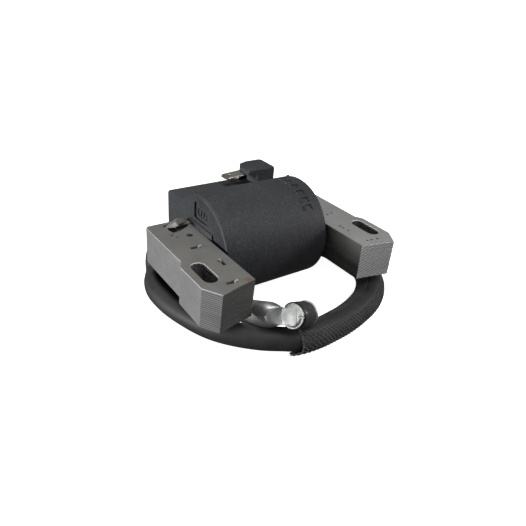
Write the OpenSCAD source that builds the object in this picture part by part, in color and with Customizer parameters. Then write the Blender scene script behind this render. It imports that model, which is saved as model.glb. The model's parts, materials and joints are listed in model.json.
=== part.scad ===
// Ignition coil of a small engine: a laminated core with two legs, a moulded
// coil body on its crossbar, a grounding tab, a kill terminal and a looped
// high tension lead that ends in a metal elbow for the spark plug.
// X runs from leg to leg, Y runs from the pole faces to the back, Z is up
// through the lamination stack. The origin is midway between the inner
// corners of the pole faces, at mid stack.

/* [Core] */
// thickness of the lamination stack
stack_t = 16; // [14:0.5:17]
// distance between the inner corners of the pole faces
pole_gap = 53.5; // [52:0.5:55]
// depth of each leg from its inner pole corner to its back edge
leg_depth = 55.2; // [54:0.2:56.4]
// width of each leg at the mounting slot
leg_w = 20; // [19:0.5:21]
// width of each leg behind the slot
leg_back_w = 18; // [17:0.5:18.5]
// radius of the flywheel path that the pole faces follow
pole_arc_r = 158; // [150:1:170]
// width of the mounting slots
slot_w = 5.7; // [5:0.1:6.2]
// end to end length of the mounting slots
slot_l = 14.6; // [12:0.2:16]
// width of the crossbar through the coil
bar_w = 15.2; // [14:0.2:15.6]

/* [Coil body] */
// outer radius of the round coil body
body_r = 22.6; // [22.2:0.1:23]
// length of the coil body between the legs
body_l = 50.8; // [50:0.1:50.8]
// wall of the round coil body
body_wall = 2.2; // [2:0.1:2.4]
// height of the box behind the round body
box_h = 27.6; // [27:0.2:27.8]
// distance from the coil axis to the back of the box
box_back = 31.3; // [31:0.1:31.8]
// wall of the box
box_wall = 2.2; // [2:0.1:2.4]
// depth of the sealing compound in the back opening
potting_t = 3.6; // [3:0.1:4]

/* [Windings] */
// wall of the inner winding former
former_wall = 1.2; // [1:0.1:1.4]
// build up of the inner winding on each side
primary_build = 2.8; // [2.2:0.1:2.9]
// inner radius of the outer winding former
outer_former_r = 16; // [15.9:0.1:16.2]
// number of sections in the outer winding
section_count = 6; // [4:1:7]

/* [Kill terminal] */
// width of the terminal blade
blade_w = 6.35; // [4.8:0.05:6.4]
// thickness of the terminal blade
blade_t = 0.8; // [0.5:0.1:1]
// angle by which the blade droops toward its tip
blade_droop = 4; // [0:0.5:6]

/* [Lead] */
// diameter of the smooth rubber lead
lead_d = 8.5; // [8:0.1:8.6]
// outer width of the woven sleeve on the lead
sleeve_w = 12.4; // [11.6:0.1:12.6]
// outer height of the woven sleeve on the lead
sleeve_h = 10; // [9.8:0.1:10]

/* [Plug elbow] */
// outer diameter of the elbow barrel
barrel_d = 9.8; // [9.6:0.1:9.9]
// distance from the mouth to the end of the straight barrel
barrel_l = 14; // [13.6:0.2:14.4]
// outer diameter of the plug socket cup
cup_d = 9; // [8.8:0.1:9]
// depth of the plug socket cup
cup_l = 8.7; // [8.3:0.1:8.9]
// outer diameter of the insulating band around the cup
band_d = 9.8; // [9.6:0.1:9.8]
// bore of the contact spring that grips the plug
socket_bore_d = 6.4; // [6:0.1:6.6]

/* [Hidden] */

// colours of the finishes
steel_c = [0.55, 0.54, 0.52];
black_c = [0.07, 0.07, 0.08];
rubber_c = [0.04, 0.04, 0.04];
copper_c = [0.72, 0.42, 0.22];
plate_c = [0.80, 0.80, 0.80];
board_c = [0.10, 0.32, 0.18];

// core
half_gap = pole_gap / 2;
leg_out = half_gap + leg_w;
leg_back_out = half_gap + leg_back_w;
arc_y = -sqrt(pole_arc_r * pole_arc_r - half_gap * half_gap);
slot_x = half_gap + 13.95;
slot_y = 12.55;
slot_step = (slot_l - slot_w) / 2;

// coil body, centred on the crossbar
axis_y = 42.6;
half_l = body_l / 2;
cavity_r = body_r - body_wall;
end_wall = 2.4;
cavity_half = half_l - end_wall;
back_y = axis_y + box_back;
box_top = box_h / 2;
tub_top = box_top - box_wall;
fillet = 1.2;
window_gap = 0.3;
collar_out = half_gap - 0.3;

// windings
former_x = bar_w + 0.4;
former_z = stack_t + 0.4;
former_half = 22;
flange_t = 1.2;
spool_x = former_x + 2 * former_wall;
spool_z = former_z + 2 * former_wall;
outer_spool_r = outer_former_r + 1;
section_r = outer_spool_r + 2.6;
rib_t = 1;
section_pitch = (2 * former_half - rib_t) / section_count;

// circuit board behind the windings
board_y = axis_y + 21.4;
board_t = 1.2;
board_x0 = -15;
board_x1 = 20;

// kill terminal hood on top of the box
box_edge_r = 0.8;
hood_z = 21.4;
hood_roof = 1.8;
hood_solid_x = 15.6;
blade_root_z = 19.6;
blade_y = 67.8;
blade_tip_x = 0.2;
blade_len = 23 - blade_tip_x;
wire_x = 18.6;

// lead
lead_r = lead_d / 2;
exit_y = 66.2;
exit_z = -7.4;
lead_sides = 12;

// plug elbow, given by the mouth of its barrel and its two directions
mouth = [-22.6, 9.4, -13.7];
elbow_yaw = -83;
elbow_pitch = 25.2;
elbow_roll = 72.4;
elbow_bend = 105.5;
elbow_len = 23.6;
fit_gap = 0.05;
bore_r = lead_r + fit_gap;
barrel_r = barrel_d / 2;
barrel_start = 2.6;
barrel_floor = 13;
cone_l = 6.6;
neck_r = 3.35;
knuckle_r = 3.4;
ball_r = 3.55;
end_len = 12.4;
cup_start = 3.4;
cup_floor = 1;
spring_start = 5.6;
spring_l = 6.4;
band_start = 3.7;
band_l = 8.3;

elbow_dir = [cos(elbow_pitch) * cos(elbow_yaw),
    cos(elbow_pitch) * sin(elbow_yaw), sin(elbow_pitch)];

// route of the lead from the coil body to the plug elbow
route = [
    [-18.8, 66.2, -7.4], [-28.8, 66.2, -7.4], [-31.6, 66.1, -7.5],
    [-34.6, 64.8, -8.7], [-37.4, 62, -11.6], [-40, 58.1, -14.8],
    [-42.5, 52.6, -16.8], [-44.3, 46.2, -18.1], [-44.5, 38.8, -18.3],
    [-43.6, 30.7, -18.3], [-41.5, 22.5, -18.3], [-38.8, 14.9, -18.3],
    [-34.9, 8.1, -18.3], [-29.7, 2.1, -18.3], [-23.9, -3.2, -18.3],
    [-18.1, -7, -18.3], [-12.6, -10.3, -18.2], [-6.3, -11.8, -17.7],
    [1.5, -11.8, -17.5], [9.5, -11.1, -17.5], [17.5, -9.4, -17.5],
    [25.6, -6.9, -17.5], [32.7, -3.6, -17.5], [39.1, 1, -17.5],
    [44.5, 6.8, -17.5], [48.3, 14.1, -17.5], [49.7, 23.8, -17.5],
    [49, 34.6, -17.5], [45.4, 45.4, -17.7], [37.6, 57, -18.2],
    [25, 67, -18.3], [9, 71, -18.3], [-8, 70.8, -18.3],
    [-22, 67, -18.3], [-30.4, 57.6, -17.8], [-34, 45.6, -16.4],
    [-34.2, 33, -15.7], [-27.6, 22.8, -17.3],
    mouth - 7 * elbow_dir, mouth - 1.8 * elbow_dir];
sleeve_from = 16;
sleeve_to = 28;

// smooth curve through the route and the swept rings around it
function at(p, i) = i < 0 ? 2 * p[0] - p[1]
    : i >= len(p) ? 2 * p[len(p) - 1] - p[len(p) - 2] : p[i];
function blend(a, b, c, d, u) = 0.5 * (2 * b + (c - a) * u
    + (2 * a - 5 * b + 4 * c - d) * u * u
    + (3 * b - a - 3 * c + d) * u * u * u);
function curve(p, i0, i1) = [for (i = [i0 : i1 - 1], u = [0, 0.5])
    blend(at(p, i - 1), at(p, i), at(p, i + 1), at(p, i + 2), u), p[i1]];
function unit(v) = v / norm(v);
function heading(c, i) = unit(at(c, i + 1) - at(c, i - 1));
function side(h) = unit(cross(h, [0, 0, 1]));
function ring(c, h, w, t) = [for (k = [0 : lead_sides - 1])
    let (a = 360 * k / lead_sides, s = side(h))
    c + s * w * cos(a) + cross(s, h) * t * sin(a)];
function rings(c, w, t) = [for (i = [0 : len(c) - 1])
    each ring(c[i], heading(c, i), w, t)];
function wall(n, first, flip) = [for (i = [0 : n - 2], k = [0 : lead_sides - 1])
    let (a = first + i * lead_sides + k,
         b = first + i * lead_sides + (k + 1) % lead_sides)
    flip ? [a, a + lead_sides, b + lead_sides, b]
         : [a, b, b + lead_sides, a + lead_sides]];
function rim(outer, inner, flip) = [for (k = [0 : lead_sides - 1])
    let (k2 = (k + 1) % lead_sides)
    flip ? [outer + k, inner + k, inner + k2, outer + k2]
         : [outer + k, outer + k2, inner + k2, inner + k]];

module cord(c, r) {
    n = len(c);
    start = [for (k = [lead_sides - 1 : -1 : 0]) k];
    finish = [for (k = [0 : lead_sides - 1]) (n - 1) * lead_sides + k];
    polyhedron(rings(c, r, r), concat([start], wall(n, 0, false), [finish]));
}

module hollow_cord(c, w, t, w_in, t_in) {
    n = len(c);
    inner = n * lead_sides;
    last = (n - 1) * lead_sides;
    polyhedron(concat(rings(c, w, t), rings(c, w_in, t_in)),
        concat(wall(n, 0, false), wall(n, inner, true),
            rim(0, inner, true), rim(last, inner + last, false)));
}

// leg of the core seen from above, on the +X side
module leg_outline() {
    difference() {
        polygon([[half_gap, -6], [leg_out - 6.1, -6], [leg_out, 3.75],
            [leg_out, 19.9], [leg_back_out, 23.3],
            [leg_back_out, leg_depth - 1.2], [leg_back_out - 1.2, leg_depth],
            [half_gap, leg_depth]]);
        translate([0, arc_y]) circle(r = pole_arc_r, $fn = 720);
        for (s = [-1, 1])
            translate([slot_x, slot_y + s * slot_step])
                circle(d = slot_w, $fn = 48);
        translate([slot_x - slot_w / 2, slot_y - slot_step])
            square([slot_w, 2 * slot_step]);
    }
}

module left_leg() {
    color(steel_c)
        translate([0, 0, -stack_t / 2])
            difference() {
                linear_extrude(stack_t) mirror([1, 0]) leg_outline();
                // gauge hole beside the crossbar joint
                translate([-31.7, 40.5, stack_t - 5])
                    cylinder(d = 2.6, h = 6, $fn = 32);
            }
}

module right_leg() {
    color(steel_c)
        translate([0, 0, -stack_t / 2])
            linear_extrude(stack_t) leg_outline();
}

module crossbar() {
    color(steel_c)
        translate([-half_gap, axis_y - bar_w / 2, -stack_t / 2])
            cube([pole_gap, bar_w, stack_t]);
}

// gill raised over the ground strip on the left leg
module ground_tab() {
    color(steel_c)
        translate([-31.6, 48.4, stack_t / 2])
            difference() {
                intersection() {
                    rotate([-90, 0, 0])
                        scale([1, 0.5, 1])
                            cylinder(r = 5, h = 5.6, $fn = 64);
                    translate([-6, -1, 0]) cube([12, 8, 4]);
                }
                translate([0, -1, 0])
                    rotate([-90, 0, 0])
                        scale([1, 0.5, 1])
                            cylinder(r = 3.6, h = 5.4, $fn = 64);
                // notch that lets the ground strip in from the coil side
                translate([0, 0.9, -1]) cube([6, 2.8, 1.6]);
            }
}

// flat conductor from the coil body to the tab
module ground_strip() {
    color(plate_c) {
        translate([-33.4, 49.4, stack_t / 2])
            cube([10.8, 2.6, 0.5]);
    }
}

module housing_solid() {
    translate([-half_l, axis_y, 0])
        rotate([0, 90, 0])
            rotate_extrude($fn = 144) {
                square([body_r - fillet, body_l]);
                translate([0, fillet]) square([body_r, body_l - 2 * fillet]);
                for (z = [fillet, body_l - fillet])
                    translate([body_r - fillet, z]) circle(r = fillet, $fn = 32);
            }
    // box behind the round body
    translate([-half_l, axis_y, -box_top])
        cube([body_l, box_back - box_edge_r, box_h]);
    translate([-half_l + box_edge_r, axis_y, -box_top])
        cube([body_l - 2 * box_edge_r, box_back, box_h]);
    for (x = [-half_l + box_edge_r, half_l - box_edge_r])
        translate([x, back_y - box_edge_r, -box_top])
            cylinder(r = box_edge_r, h = box_h, $fn = 32);
    // collars around the crossbar, reaching to the legs
    translate([-collar_out, axis_y - bar_w / 2 - 1.4, -stack_t / 2 - 1.2])
        cube([2 * collar_out, bar_w + 2.8, stack_t + 2.4]);
    hood();
}

// cover over the root of the kill terminal
module hood() {
    difference() {
        translate([0, 0, box_top - 1])
            linear_extrude(hood_z - box_top + 1)
                polygon([[10.2, 61.4], [half_l - 0.6, 61.4], [half_l, 62],
                    [half_l, back_y - 0.4], [half_l - 0.4, back_y],
                    [16.8, back_y], [12.4, 72.2], [10.4, 69.4]]);
        translate([9, 60, box_top])
            cube([hood_solid_x - 9, 11.4, hood_z - hood_roof - box_top]);
        translate([9, 60, box_top - 2])
            cube([hood_solid_x - 9, 15, 2]);
    }
}

module housing() {
    color(black_c)
        difference() {
            housing_solid();
            // round cavity for the windings
            translate([-cavity_half, axis_y, 0])
                rotate([0, 90, 0])
                    cylinder(r = cavity_r, h = 2 * cavity_half, $fn = 144);
            // tub that opens to the back
            translate([-cavity_half, axis_y, -tub_top])
                cube([2 * cavity_half, box_back + 1, 2 * tub_top]);
            // window for the crossbar
            translate([-half_l - 5, axis_y - bar_w / 2 - window_gap / 2,
                -stack_t / 2 - window_gap / 2])
                cube([body_l + 10, bar_w + window_gap, stack_t + window_gap]);
            // shallow panels in the end faces
            for (s = [-1, 1])
                translate([s * (half_l + 0.5), axis_y, 0])
                    rotate([0, 90, 0])
                        rotate([0, 0, 90])
                            translate([0, 0, -1])
                                linear_extrude(2) panel();
            // outlet for the lead
            translate([-half_l - 1, exit_y, exit_z])
                rotate([0, 90, 0])
                    cylinder(r = lead_r + 0.1, h = 4.2, $fn = 48);
            // slit for the ground strip
            translate([-half_l - 2, 49.2, stack_t / 2 - 0.3])
                cube([5, 3, 1]);
            // seat of the kill blade and its wire
            at_blade()
                translate([-8, -blade_w / 2 - 0.1, -blade_t / 2 - 0.1])
                    cube([8.3, blade_w + 0.2, blade_t + 0.2]);
            translate([wire_x, blade_y, 10])
                cylinder(r = 0.8, h = 9, $fn = 24);
        }
}

// panel outline in an end face
module panel() {
    difference() {
        translate([-5, 11.4]) square([10.8, 7.4]);
        translate([0.4, 15.1])
            scale([1, 0.62])
                circle(r = 4, $fn = 48);
    }
}

module potting() {
    color([0.06, 0.05, 0.05])
        difference() {
            translate([-cavity_half + 0.05, back_y - 1.2 - potting_t, -tub_top + 0.05])
                cube([2 * cavity_half - 0.1, potting_t, 2 * tub_top - 0.1]);
            translate([-cavity_half - 1, exit_y, exit_z])
                rotate([0, 90, 0])
                    cylinder(r = lead_r + 0.1, h = 6, $fn = 48);
        }
}

// frame at the root of the kill blade, with -X toward its tip
module at_blade() {
    translate([23, blade_y, blade_root_z])
        rotate([0, -blade_droop, 0])
            children();
}

module kill_blade() {
    color(plate_c)
        at_blade()
            translate([-blade_len, 0, -blade_t / 2])
                difference() {
                    linear_extrude(blade_t)
                        polygon([[0, -blade_w / 2 + 1.2], [1.2, -blade_w / 2],
                            [blade_len, -blade_w / 2], [blade_len, blade_w / 2],
                            [1.2, blade_w / 2], [0, blade_w / 2 - 1.2]]);
                    translate([3.6, 0, -1]) cylinder(d = 1.7, h = 3, $fn = 32);
                }
}

// wire from the circuit board up to the kill blade
module kill_wire() {
    color(copper_c) {
        translate([wire_x, blade_y, 6])
            cylinder(r = 0.5, h = 12.7, $fn = 24);
        translate([wire_x - 0.35, board_y + board_t, 6.2])
            cube([0.7, blade_y - board_y - board_t, 0.7]);
    }
}

module former(x, z, wall_t, flange_x, flange_z) {
    difference() {
        union() {
            translate([-former_half, -x / 2 - wall_t, -z / 2 - wall_t])
                cube([2 * former_half, x + 2 * wall_t, z + 2 * wall_t]);
            for (s = [-former_half, former_half - flange_t])
                translate([s, -flange_x / 2, -flange_z / 2])
                    cube([flange_t, flange_x, flange_z]);
        }
        translate([-former_half - 1, -x / 2, -z / 2])
            cube([2 * former_half + 2, x, z]);
    }
}

module primary_former() {
    color([0.82, 0.80, 0.72])
        translate([0, axis_y, 0])
            former(former_x, former_z, former_wall, spool_x + 4, spool_z + 4);
}

module primary_winding() {
    color(copper_c)
        translate([-former_half + flange_t, axis_y, 0])
            rotate([90, 0, 90])
                linear_extrude(2 * (former_half - flange_t))
                    difference() {
                        winding_outline(spool_x / 2, spool_z / 2, primary_build);
                        square([spool_x, spool_z], center = true);
                    }
}

module winding_outline(x, z, b) {
    square([2 * (x + b), 2 * z], center = true);
    square([2 * x, 2 * (z + b)], center = true);
    for (i = [-1, 1], j = [-1, 1])
        translate([i * x, j * z]) circle(r = b, $fn = 32);
}

module secondary_former() {
    color([0.85, 0.83, 0.75])
        translate([-former_half, axis_y, 0])
            rotate([0, 90, 0])
                difference() {
                    union() {
                        cylinder(r = outer_spool_r, h = 2 * former_half, $fn = 96);
                        for (i = [0 : section_count])
                            translate([0, 0, i * section_pitch])
                                cylinder(r = section_r + 0.4, h = rib_t, $fn = 96);
                    }
                    translate([0, 0, -1])
                        cylinder(r = outer_former_r, h = 2 * former_half + 2, $fn = 96);
                }
}

module secondary_winding() {
    color([0.60, 0.30, 0.12])
        translate([-former_half, axis_y, 0])
            rotate([0, 90, 0])
                for (i = [0 : section_count - 1])
                    translate([0, 0, i * section_pitch + rib_t + 0.05])
                        difference() {
                            cylinder(r = section_r, h = section_pitch - rib_t - 0.1,
                                $fn = 96);
                            translate([0, 0, -1])
                                cylinder(r = outer_spool_r + 0.05,
                                    h = section_pitch + 2, $fn = 96);
                        }
}

module circuit_board() {
    color(board_c)
        translate([board_x0, board_y, -10])
            cube([board_x1 - board_x0, board_t, 20]);
}

module power_transistor() {
    color(black_c)
        translate([-10, board_y + board_t, -5])
            cube([10, 2.4, 9]);
}

module trigger_chip() {
    color(black_c)
        translate([5, board_y + board_t, -4])
            cube([5, 1.6, 4]);
}

module board_capacitor() {
    color([0.62, 0.45, 0.16])
        translate([14, board_y + board_t, 3])
            rotate([-90, 0, 0])
                cylinder(r = 2.4, h = 2.4, $fn = 32);
}

module board_resistors() {
    color([0.25, 0.22, 0.20])
        for (z = [-8, -5.6, 6.4])
            translate([12, board_y + board_t, z])
                cube([3.2, 0.7, 1.6]);
}

module hv_contact() {
    color(plate_c)
        translate([-18.4, exit_y, exit_z])
            rotate([0, 90, 0])
                cylinder(r = 2.8, h = 0.8, $fn = 32);
}

// moulded strain relief where the lead leaves the coil body
module lead_boot() {
    color(rubber_c)
        translate([-half_l, exit_y, exit_z])
            rotate([0, -90, 0])
                difference() {
                    union() {
                        cylinder(r = 6, h = 1.6, $fn = 48);
                        cylinder(r = 5.4, h = 3.4, $fn = 48);
                    }
                    translate([0, 0, -1])
                        cylinder(r = lead_r + 0.05, h = 6, $fn = 48);
                }
}

module hv_lead() {
    color(rubber_c)
        cord(curve(route, 0, len(route) - 1), lead_r);
}

module woven_sleeve() {
    color([0.12, 0.12, 0.12])
        hollow_cord(curve(route, sleeve_from, sleeve_to),
            sleeve_w / 2, sleeve_h / 2, sleeve_w / 2 - 0.7, sleeve_h / 2 - 0.5);
}

// places a child in the frame of the elbow, with Z along its barrel
module at_elbow() {
    translate(mouth)
        rotate([0, 90 - elbow_pitch, elbow_yaw])
            rotate([0, 0, elbow_roll])
                children();
}

// places a child on the socket axis, with Z out of the socket
module at_socket() {
    at_elbow()
        translate([0, 0, elbow_len])
            rotate([0, elbow_bend, 0])
                children();
}

// end of the lead inside the elbow barrel
module lead_end() {
    color(rubber_c)
        at_elbow()
            translate([0, 0, -1.1])
                difference() {
                    cylinder(r = lead_r, h = end_len + 1.1, $fn = 48);
                    translate([0, 0, 2])
                        cylinder(r = 1.3, h = end_len + 2, $fn = 32);
                }
}

module lead_conductor() {
    color(copper_c)
        at_elbow()
            translate([0, 0, 0.9])
                difference() {
                    cylinder(r = 1.3, h = end_len - 0.9, $fn = 32);
                    translate([0, 0, 4])
                        cylinder(r = 0.65, h = end_len, $fn = 32);
                }
}

// half ring under the lead that the barrel is crimped with
module end_ferrule() {
    color(plate_c)
        at_elbow()
            translate([0, 0, -1])
                difference() {
                    cylinder(r = barrel_r - 0.1, h = barrel_start + 1, $fn = 48);
                    translate([0, 0, -1])
                        cylinder(r = bore_r, h = barrel_start + 3, $fn = 48);
                    rotate([0, 0, -elbow_roll])
                        translate([-10, -6, -1]) cube([10.5, 12, 6]);
                }
}

module elbow_shell() {
    color(plate_c) {
        difference() {
            union() {
                at_elbow() {
                    translate([0, 0, barrel_start])
                        cylinder(r = barrel_r, h = barrel_l - barrel_start, $fn = 64);
                    translate([0, 0, barrel_l])
                        cylinder(r1 = barrel_r, r2 = neck_r, h = cone_l, $fn = 64);
                    translate([0, 0, barrel_l + cone_l])
                        cylinder(r = neck_r, h = elbow_len - barrel_l - cone_l, $fn = 64);
                    translate([0, 0, elbow_len])
                        sphere(r = ball_r, $fn = 64);
                }
                at_socket() {
                    cylinder(r = knuckle_r, h = cup_start + 0.5, $fn = 64);
                    translate([0, 0, cup_start])
                        cylinder(d = cup_d, h = cup_l + cup_floor, $fn = 64);
                }
            }
            at_elbow()
                translate([0, 0, -1])
                    cylinder(r = bore_r, h = barrel_floor + 1, $fn = 64);
            at_socket()
                translate([0, 0, cup_start + cup_floor])
                    cylinder(d = cup_d - 1.2, h = cup_l + 2, $fn = 64);
        }
    }
}

module lead_prong() {
    color(plate_c)
        at_elbow()
            translate([0, 0, 5])
                cylinder(r = 0.6, h = barrel_floor - 5, $fn = 32);
}

module socket_spring() {
    color(plate_c)
        at_socket()
            translate([0, 0, spring_start])
                difference() {
                    cylinder(d = cup_d - 1.3, h = spring_l, $fn = 64);
                    translate([0, 0, -1])
                        cylinder(d = socket_bore_d, h = spring_l + 2, $fn = 64);
                    translate([0, -0.6, -1]) cube([6, 1.2, spring_l + 2]);
                }
}

// insulating band, cut away where the neck of the elbow passes it
module socket_band() {
    color(rubber_c)
        difference() {
            at_socket()
                translate([0, 0, band_start])
                    difference() {
                        cylinder(d = band_d, h = band_l, $fn = 64);
                        translate([0, 0, -1])
                            cylinder(d = cup_d + 0.05, h = band_l + 2, $fn = 64);
                    }
            at_elbow() {
                translate([0, 0, barrel_start])
                    cylinder(r = barrel_r + 0.4, h = barrel_l - barrel_start, $fn = 48);
                translate([0, 0, barrel_l])
                    cylinder(r1 = barrel_r + 0.4, r2 = neck_r + 0.4, h = cone_l, $fn = 48);
                translate([0, 0, barrel_l + cone_l - 0.1])
                    cylinder(r = neck_r + 0.4, h = 4, $fn = 48);
            }
        }
}

left_leg();
right_leg();
crossbar();
ground_tab();
ground_strip();
housing();
potting();
kill_blade();
kill_wire();
primary_former();
primary_winding();
secondary_former();
secondary_winding();
circuit_board();
power_transistor();
trigger_chip();
board_capacitor();
board_resistors();
hv_contact();
lead_boot();
hv_lead();
woven_sleeve();
lead_end();
lead_conductor();
end_ferrule();
elbow_shell();
lead_prong();
socket_spring();
socket_band();
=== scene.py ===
import bisect
import bmesh
import bpy
import json
import math
import random
from mathutils import Vector, Matrix, noise
from mathutils.geometry import tessellate_polygon

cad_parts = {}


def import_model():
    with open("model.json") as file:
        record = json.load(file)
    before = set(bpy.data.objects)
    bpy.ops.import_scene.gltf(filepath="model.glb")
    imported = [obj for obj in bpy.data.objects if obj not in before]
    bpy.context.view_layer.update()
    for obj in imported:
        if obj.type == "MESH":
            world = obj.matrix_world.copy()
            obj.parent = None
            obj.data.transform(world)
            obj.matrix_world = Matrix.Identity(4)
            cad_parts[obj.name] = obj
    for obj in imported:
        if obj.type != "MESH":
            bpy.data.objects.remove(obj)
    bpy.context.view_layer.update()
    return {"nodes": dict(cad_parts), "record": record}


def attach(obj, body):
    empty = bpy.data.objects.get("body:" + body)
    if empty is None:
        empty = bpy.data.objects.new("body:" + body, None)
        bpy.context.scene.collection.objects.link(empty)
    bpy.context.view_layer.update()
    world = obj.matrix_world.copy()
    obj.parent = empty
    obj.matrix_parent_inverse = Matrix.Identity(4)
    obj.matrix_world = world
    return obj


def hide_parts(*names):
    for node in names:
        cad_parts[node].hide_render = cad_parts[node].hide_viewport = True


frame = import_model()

N = frame["nodes"]
MM = 0.001
rnd = random.Random(7)


# ---- helpers
def clamp(value):
    """The value kept between 0 and 1."""
    return min(1.0, max(0.0, value))


def shade(tint, factor):
    """The tint made lighter or darker."""
    return tuple(c * factor for c in tint)


def linked(name, data):
    """A new object in the scene."""
    o = bpy.data.objects.new(name, data)
    bpy.context.scene.collection.objects.link(o)
    return o


def obj(name, mesh, body, mat, stands_for=()):
    """A visible piece on a body, with its materials and the CAD nodes that it replaces."""
    o = linked(name, mesh)
    for m in (mat if isinstance(mat, (list, tuple)) else [mat]):
        o.data.materials.append(m)
    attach(o, body)
    if stands_for:
        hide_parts(*stands_for)
    return o


def mesh_of(name, verts, faces, smooth=True, finishes=None):
    """A mesh from corners in mm, its faces turned outward. finishes has one material index per face."""
    me = bpy.data.meshes.new(name)
    me.from_pydata([tuple(c * MM for c in v) for v in verts], [], faces)
    if finishes:
        me.polygons.foreach_set("material_index", finishes)
    else:
        me.validate()
    bm = bmesh.new()
    bm.from_mesh(me)
    bmesh.ops.recalc_face_normals(bm, faces=bm.faces)
    bm.to_mesh(me)
    bm.free()
    for p in me.polygons:
        p.use_smooth = smooth
    return me


def new_mat(name):
    """A material with one Principled shader, its node tree and that shader."""
    m = bpy.data.materials.new(name)
    m.use_nodes = True
    nt = m.node_tree
    nt.nodes.clear()
    out = nt.nodes.new("ShaderNodeOutputMaterial")
    b = nt.nodes.new("ShaderNodeBsdfPrincipled")
    nt.links.new(b.outputs[0], out.inputs[0])
    return m, nt, b


def node(nt, kind, **inputs):
    """A shader node with its inputs or properties set by name."""
    n = nt.nodes.new("ShaderNode" + kind)
    for k, v in inputs.items():
        if k in n.inputs:
            n.inputs[k].default_value = v
        else:
            setattr(n, k, v)
    return n


def coords(nt, scale=(1, 1, 1), rot=(0, 0, 0)):
    """Object coordinates in metres, scaled and turned."""
    tc = node(nt, "TexCoord")
    mp = node(nt, "Mapping", Scale=scale, Rotation=rot)
    nt.links.new(tc.outputs["Object"], mp.inputs["Vector"])
    return mp.outputs["Vector"]


def noise_tex(nt, vec, scale, detail=4, rough=0.5, dist=0.0):
    n = node(nt, "TexNoise", Scale=scale, Detail=detail, Roughness=rough, Distortion=dist)
    nt.links.new(vec, n.inputs["Vector"])
    return n.outputs["Fac"]


def ramp(nt, fac, stops):
    """A colour ramp through stops of (place, grey or colour)."""
    r = node(nt, "ValToRGB")
    e = r.color_ramp.elements
    while len(e) < len(stops):
        e.new(0.5)
    for el, (p, c) in zip(e, stops):
        el.position = p
        el.color = (c, c, c, 1) if isinstance(c, (int, float)) else (*c, 1)
    nt.links.new(fac, r.inputs["Fac"])
    return r.outputs["Color"]


def math_n(nt, op, a, b=None):
    m = node(nt, "Math", operation=op)
    for i, v in enumerate((a, b)):
        if v is None:
            continue
        if isinstance(v, (int, float)):
            m.inputs[i].default_value = v
        else:
            nt.links.new(v, m.inputs[i])
    return m.outputs[0]


def mix(nt, fac, a, b):
    m = node(nt, "MixRGB")
    for i, v in zip(("Fac", "Color1", "Color2"), (fac, a, b)):
        if isinstance(v, (int, float)):
            m.inputs[i].default_value = v
        elif isinstance(v, tuple):
            m.inputs[i].default_value = (*v, 1)
        else:
            nt.links.new(v, m.inputs[i])
    return m.outputs[0]


def bump(nt, height, strength, distance, into=None):
    """A bump whose distance is in mm, laid over another one where into is given."""
    b = node(nt, "Bump", Strength=strength, Distance=distance * MM)
    nt.links.new(height, b.inputs["Height"])
    if into is not None:
        nt.links.new(into, b.inputs["Normal"])
    return b.outputs["Normal"]


def surface(nt, b, colour, rough, normal):
    """Feeds a shader's colour, roughness and normal."""
    for name, value in (("Base Color", colour), ("Roughness", rough), ("Normal", normal)):
        nt.links.new(value, b.inputs[name])


# ---- materials
RUST_SPOT = Vector((-29.2, 1.0, 7.8))
STRUCK_R = 6.0


def m_black_plastic():
    """Moulded glass-filled plastic: charcoal, fine matt grain, faint dust and rubbed patches."""
    m, nt, b = new_mat("black_plastic")
    v = coords(nt)
    fine = noise_tex(nt, v, 1900, 3, 0.65)
    broad = noise_tex(nt, v, 70, 4, 0.55)
    dust = noise_tex(nt, v, 1350, 5, 0.75)
    tone = ramp(nt, broad, [(0.35, 0.0), (0.7, 1.0)])
    col = mix(nt, tone, (0.024, 0.025, 0.028), (0.033, 0.034, 0.038))
    col = mix(nt, ramp(nt, dust, [(0.49, 0.0), (0.72, 0.75)]), col, (0.085, 0.087, 0.096))
    b.inputs["Specular IOR Level"].default_value = 0.32
    rough = ramp(nt, broad, [(0.2, 0.50), (0.8, 0.62)])
    surface(nt, b, col, rough, bump(nt, fine, 0.8, 0.10, bump(nt, broad, 0.25, 0.4)))
    return m


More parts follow.
